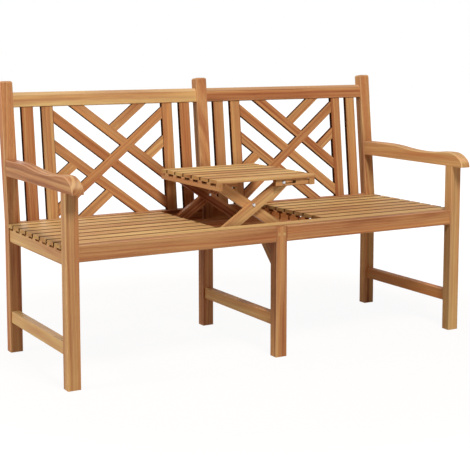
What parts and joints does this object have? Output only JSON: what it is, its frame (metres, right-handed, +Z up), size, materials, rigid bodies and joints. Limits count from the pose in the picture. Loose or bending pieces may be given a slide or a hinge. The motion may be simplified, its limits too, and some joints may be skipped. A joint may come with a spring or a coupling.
{
  "type": "companion seat bench",
  "caption": "Slatted wooden companion seat bench with a lattice back, wave-topped arms and a table between the seats that folds flush on scissor links.",
  "frame": {"origin": "middle of the bench's footprint, on the ground", "axes": "+X along the bench towards the right end as seen from the front, +Y from front to back, +Z up"},
  "size_m": [1.5, 0.635, 0.9],
  "materials": {
    "frame_teak": "oiled, satin",
    "back_teak": "oiled, satin",
    "seat_teak": "oiled, satin",
    "table_teak": "oiled, satin",
    "lift_teak": "oiled, satin",
    "plug_teak": "sanded flush",
    "bolt_steel": "bright zinc"
  },
  "bodies": {
    "bench_frame": {"left_front_leg": "frame_teak", "right_front_leg": "frame_teak", "middle_front_leg": "frame_teak", "left_rear_post": "frame_teak", "middle_rear_post": "frame_teak", "right_rear_post": "frame_teak", "left_front_rail": "frame_teak", "left_rear_rail": "frame_teak", "right_front_rail": "frame_teak", "right_rear_rail": "frame_teak", "left_side_rail": "frame_teak", "left_stretcher": "frame_teak", "right_side_rail": "frame_teak", "right_stretcher": "frame_teak", "middle_stretcher": "frame_teak", "left_bearer": "frame_teak", "right_bearer": "frame_teak", "front_seat_slat": "seat_teak", "left_seat_slats": "seat_teak", "right_seat_slats": "seat_teak", "left_arm": "frame_teak", "right_arm": "frame_teak", "left_top_rail": "frame_teak", "right_top_rail": "frame_teak", "left_back_slat_1": "back_teak", "left_back_slat_2": "back_teak", "left_back_slat_3": "back_teak", "left_back_slat_4": "back_teak", "right_back_slat_1": "back_teak", "right_back_slat_2": "back_teak", "right_back_slat_3": "back_teak", "right_back_slat_4": "back_teak", "left_lattice_upper_bar": "back_teak", "left_lattice_middle_bar": "back_teak", "left_lattice_lower_bar": "back_teak", "left_lattice_cross_bar": "back_teak", "left_lattice_stubs": "back_teak", "right_lattice_upper_bar": "back_teak", "right_lattice_middle_bar": "back_teak", "right_lattice_lower_bar": "back_teak", "right_lattice_cross_bar": "back_teak", "right_lattice_stubs": "back_teak", "frame_pivot_pins": "bolt_steel", "lift_pivot_boards": "lift_teak", "lift_slot_boards": "lift_teak", "knee_brace": "frame_teak", "wood_plugs": "plug_teak"},
    "front_outer_link": {"front_outer_link": "lift_teak", "front_outer_link_bolts": "bolt_steel"},
    "rear_outer_link": {"rear_outer_link": "lift_teak", "rear_outer_link_bolts": "bolt_steel"},
    "inner_links": {"front_inner_link": "lift_teak", "rear_inner_link": "lift_teak", "cross_rod": "lift_teak", "inner_link_slide_pins": "bolt_steel"},
    "table": {"table_slats": "table_teak", "left_table_batten": "table_teak", "right_table_batten": "table_teak", "table_slide_rails": "table_teak", "table_pivot_blocks": "table_teak"}
  },
  "joints": [
    {"name": "table_lift", "type": "hinge", "parent": "bench_frame", "child": "front_outer_link", "pos_m": [-0.15296, -0.13095, 0.4105], "axis": [0, 1, 0], "range_deg": [0, 33.8]},
    {"name": "rear_lift", "type": "hinge", "parent": "bench_frame", "child": "rear_outer_link", "pos_m": [-0.15296, 0.18505, 0.4105], "axis": [0, 1, 0], "range_deg": [0, 33.8]},
    {"name": "scissor_cross", "type": "hinge", "parent": "front_outer_link", "child": "inner_links", "pos_m": [-0.03232, 0.02705, 0.49126], "axis": [0, 1, 0], "range_deg": [-67.6, 0]},
    {"name": "table_pivot", "type": "hinge", "parent": "inner_links", "child": "table", "pos_m": [-0.138, 0.02705, 0.562], "axis": [0, 1, 0], "range_deg": [0, 33.8]}
  ],
  "couplings": [
    {"joint": "rear_lift", "follows": "table_lift", "ratio": 1},
    {"joint": "scissor_cross", "follows": "table_lift", "ratio": -2},
    {"joint": "table_pivot", "follows": "table_lift", "ratio": 1}
  ]
}
